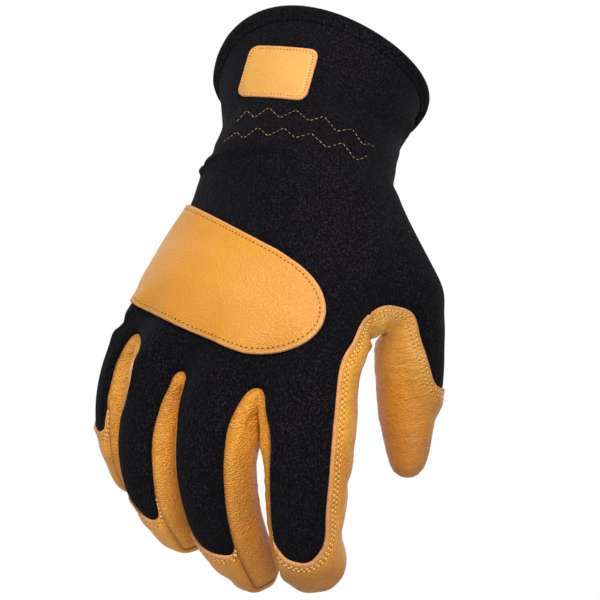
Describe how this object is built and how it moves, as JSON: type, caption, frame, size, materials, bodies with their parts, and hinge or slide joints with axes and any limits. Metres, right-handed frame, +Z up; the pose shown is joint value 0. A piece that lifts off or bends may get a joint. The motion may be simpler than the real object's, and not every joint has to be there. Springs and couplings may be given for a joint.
{
  "type": "fire-resistant mechanic glove",
  "caption": "Right-hand slip-on work glove with a knit back and flared cuff, leather palm, fingertips, thumb and knuckle patch, in the form a hand gives it.",
  "frame": {"origin": "middle of the cuff opening, where the hand goes in", "axes": "+Z up with the fingers hanging down, -Y out of the back of the hand towards the viewer, +X to the thumb side"},
  "size_m": [0.1346, 0.1309, 0.2274],
  "materials": {
    "knit": "fine ribbed knit, matte",
    "leather": "soft goatskin grain, satin",
    "patch_leather": "smooth leather, satin",
    "label_leather": "smooth tan leather, satin"
  },
  "bodies": {
    "root": {"back_panel": "knit", "cuff_underside": "knit", "cuff_hem": "knit", "palm_panel": "leather", "fourchette_little_ring": "leather", "fourchette_ring_middle": "leather", "fourchette_middle_index": "leather", "thumb_panel": "leather", "knuckle_patch": "patch_leather", "cuff_label": "label_leather"}
  },
  "joints": []
}
